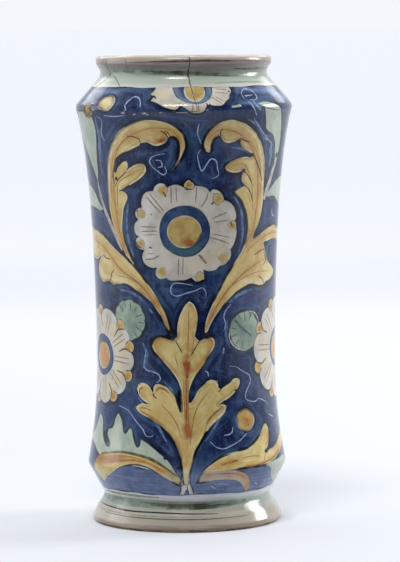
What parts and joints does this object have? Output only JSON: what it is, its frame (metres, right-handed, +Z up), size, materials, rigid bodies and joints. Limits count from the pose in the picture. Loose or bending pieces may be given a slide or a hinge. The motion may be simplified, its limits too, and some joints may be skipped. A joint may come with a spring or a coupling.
{
  "type": "albarello",
  "caption": "Waisted tin-glazed earthenware drug jar with a rolled rim, sloping shoulder and spreading foot, painted with foliage and flowers, broken and mended at the rim.",
  "frame": {"origin": "centre of the foot, on the surface that the jar stands on", "axes": "+Z up along the jar's axis, -Y towards the front of the painted decoration, +X to the right as seen from the front"},
  "size_m": [0.1392, 0.1392, 0.3],
  "materials": {
    "clay": "bare fired earthenware",
    "painted_glaze": "glossy tin glaze painted in blue, yellow, green and white",
    "plain_glaze": "glossy off-white glaze",
    "glue": "old darkened glue",
    "filler": "matt filler"
  },
  "bodies": {
    "root": {"clay_body": "clay", "outer_glaze": "painted_glaze", "inner_glaze": "plain_glaze", "rim_sherd": "clay", "sherd_outer_glaze": "painted_glaze", "sherd_inner_glaze": "plain_glaze", "glue_seam": "glue", "chip_fill": "filler"}
  },
  "joints": []
}
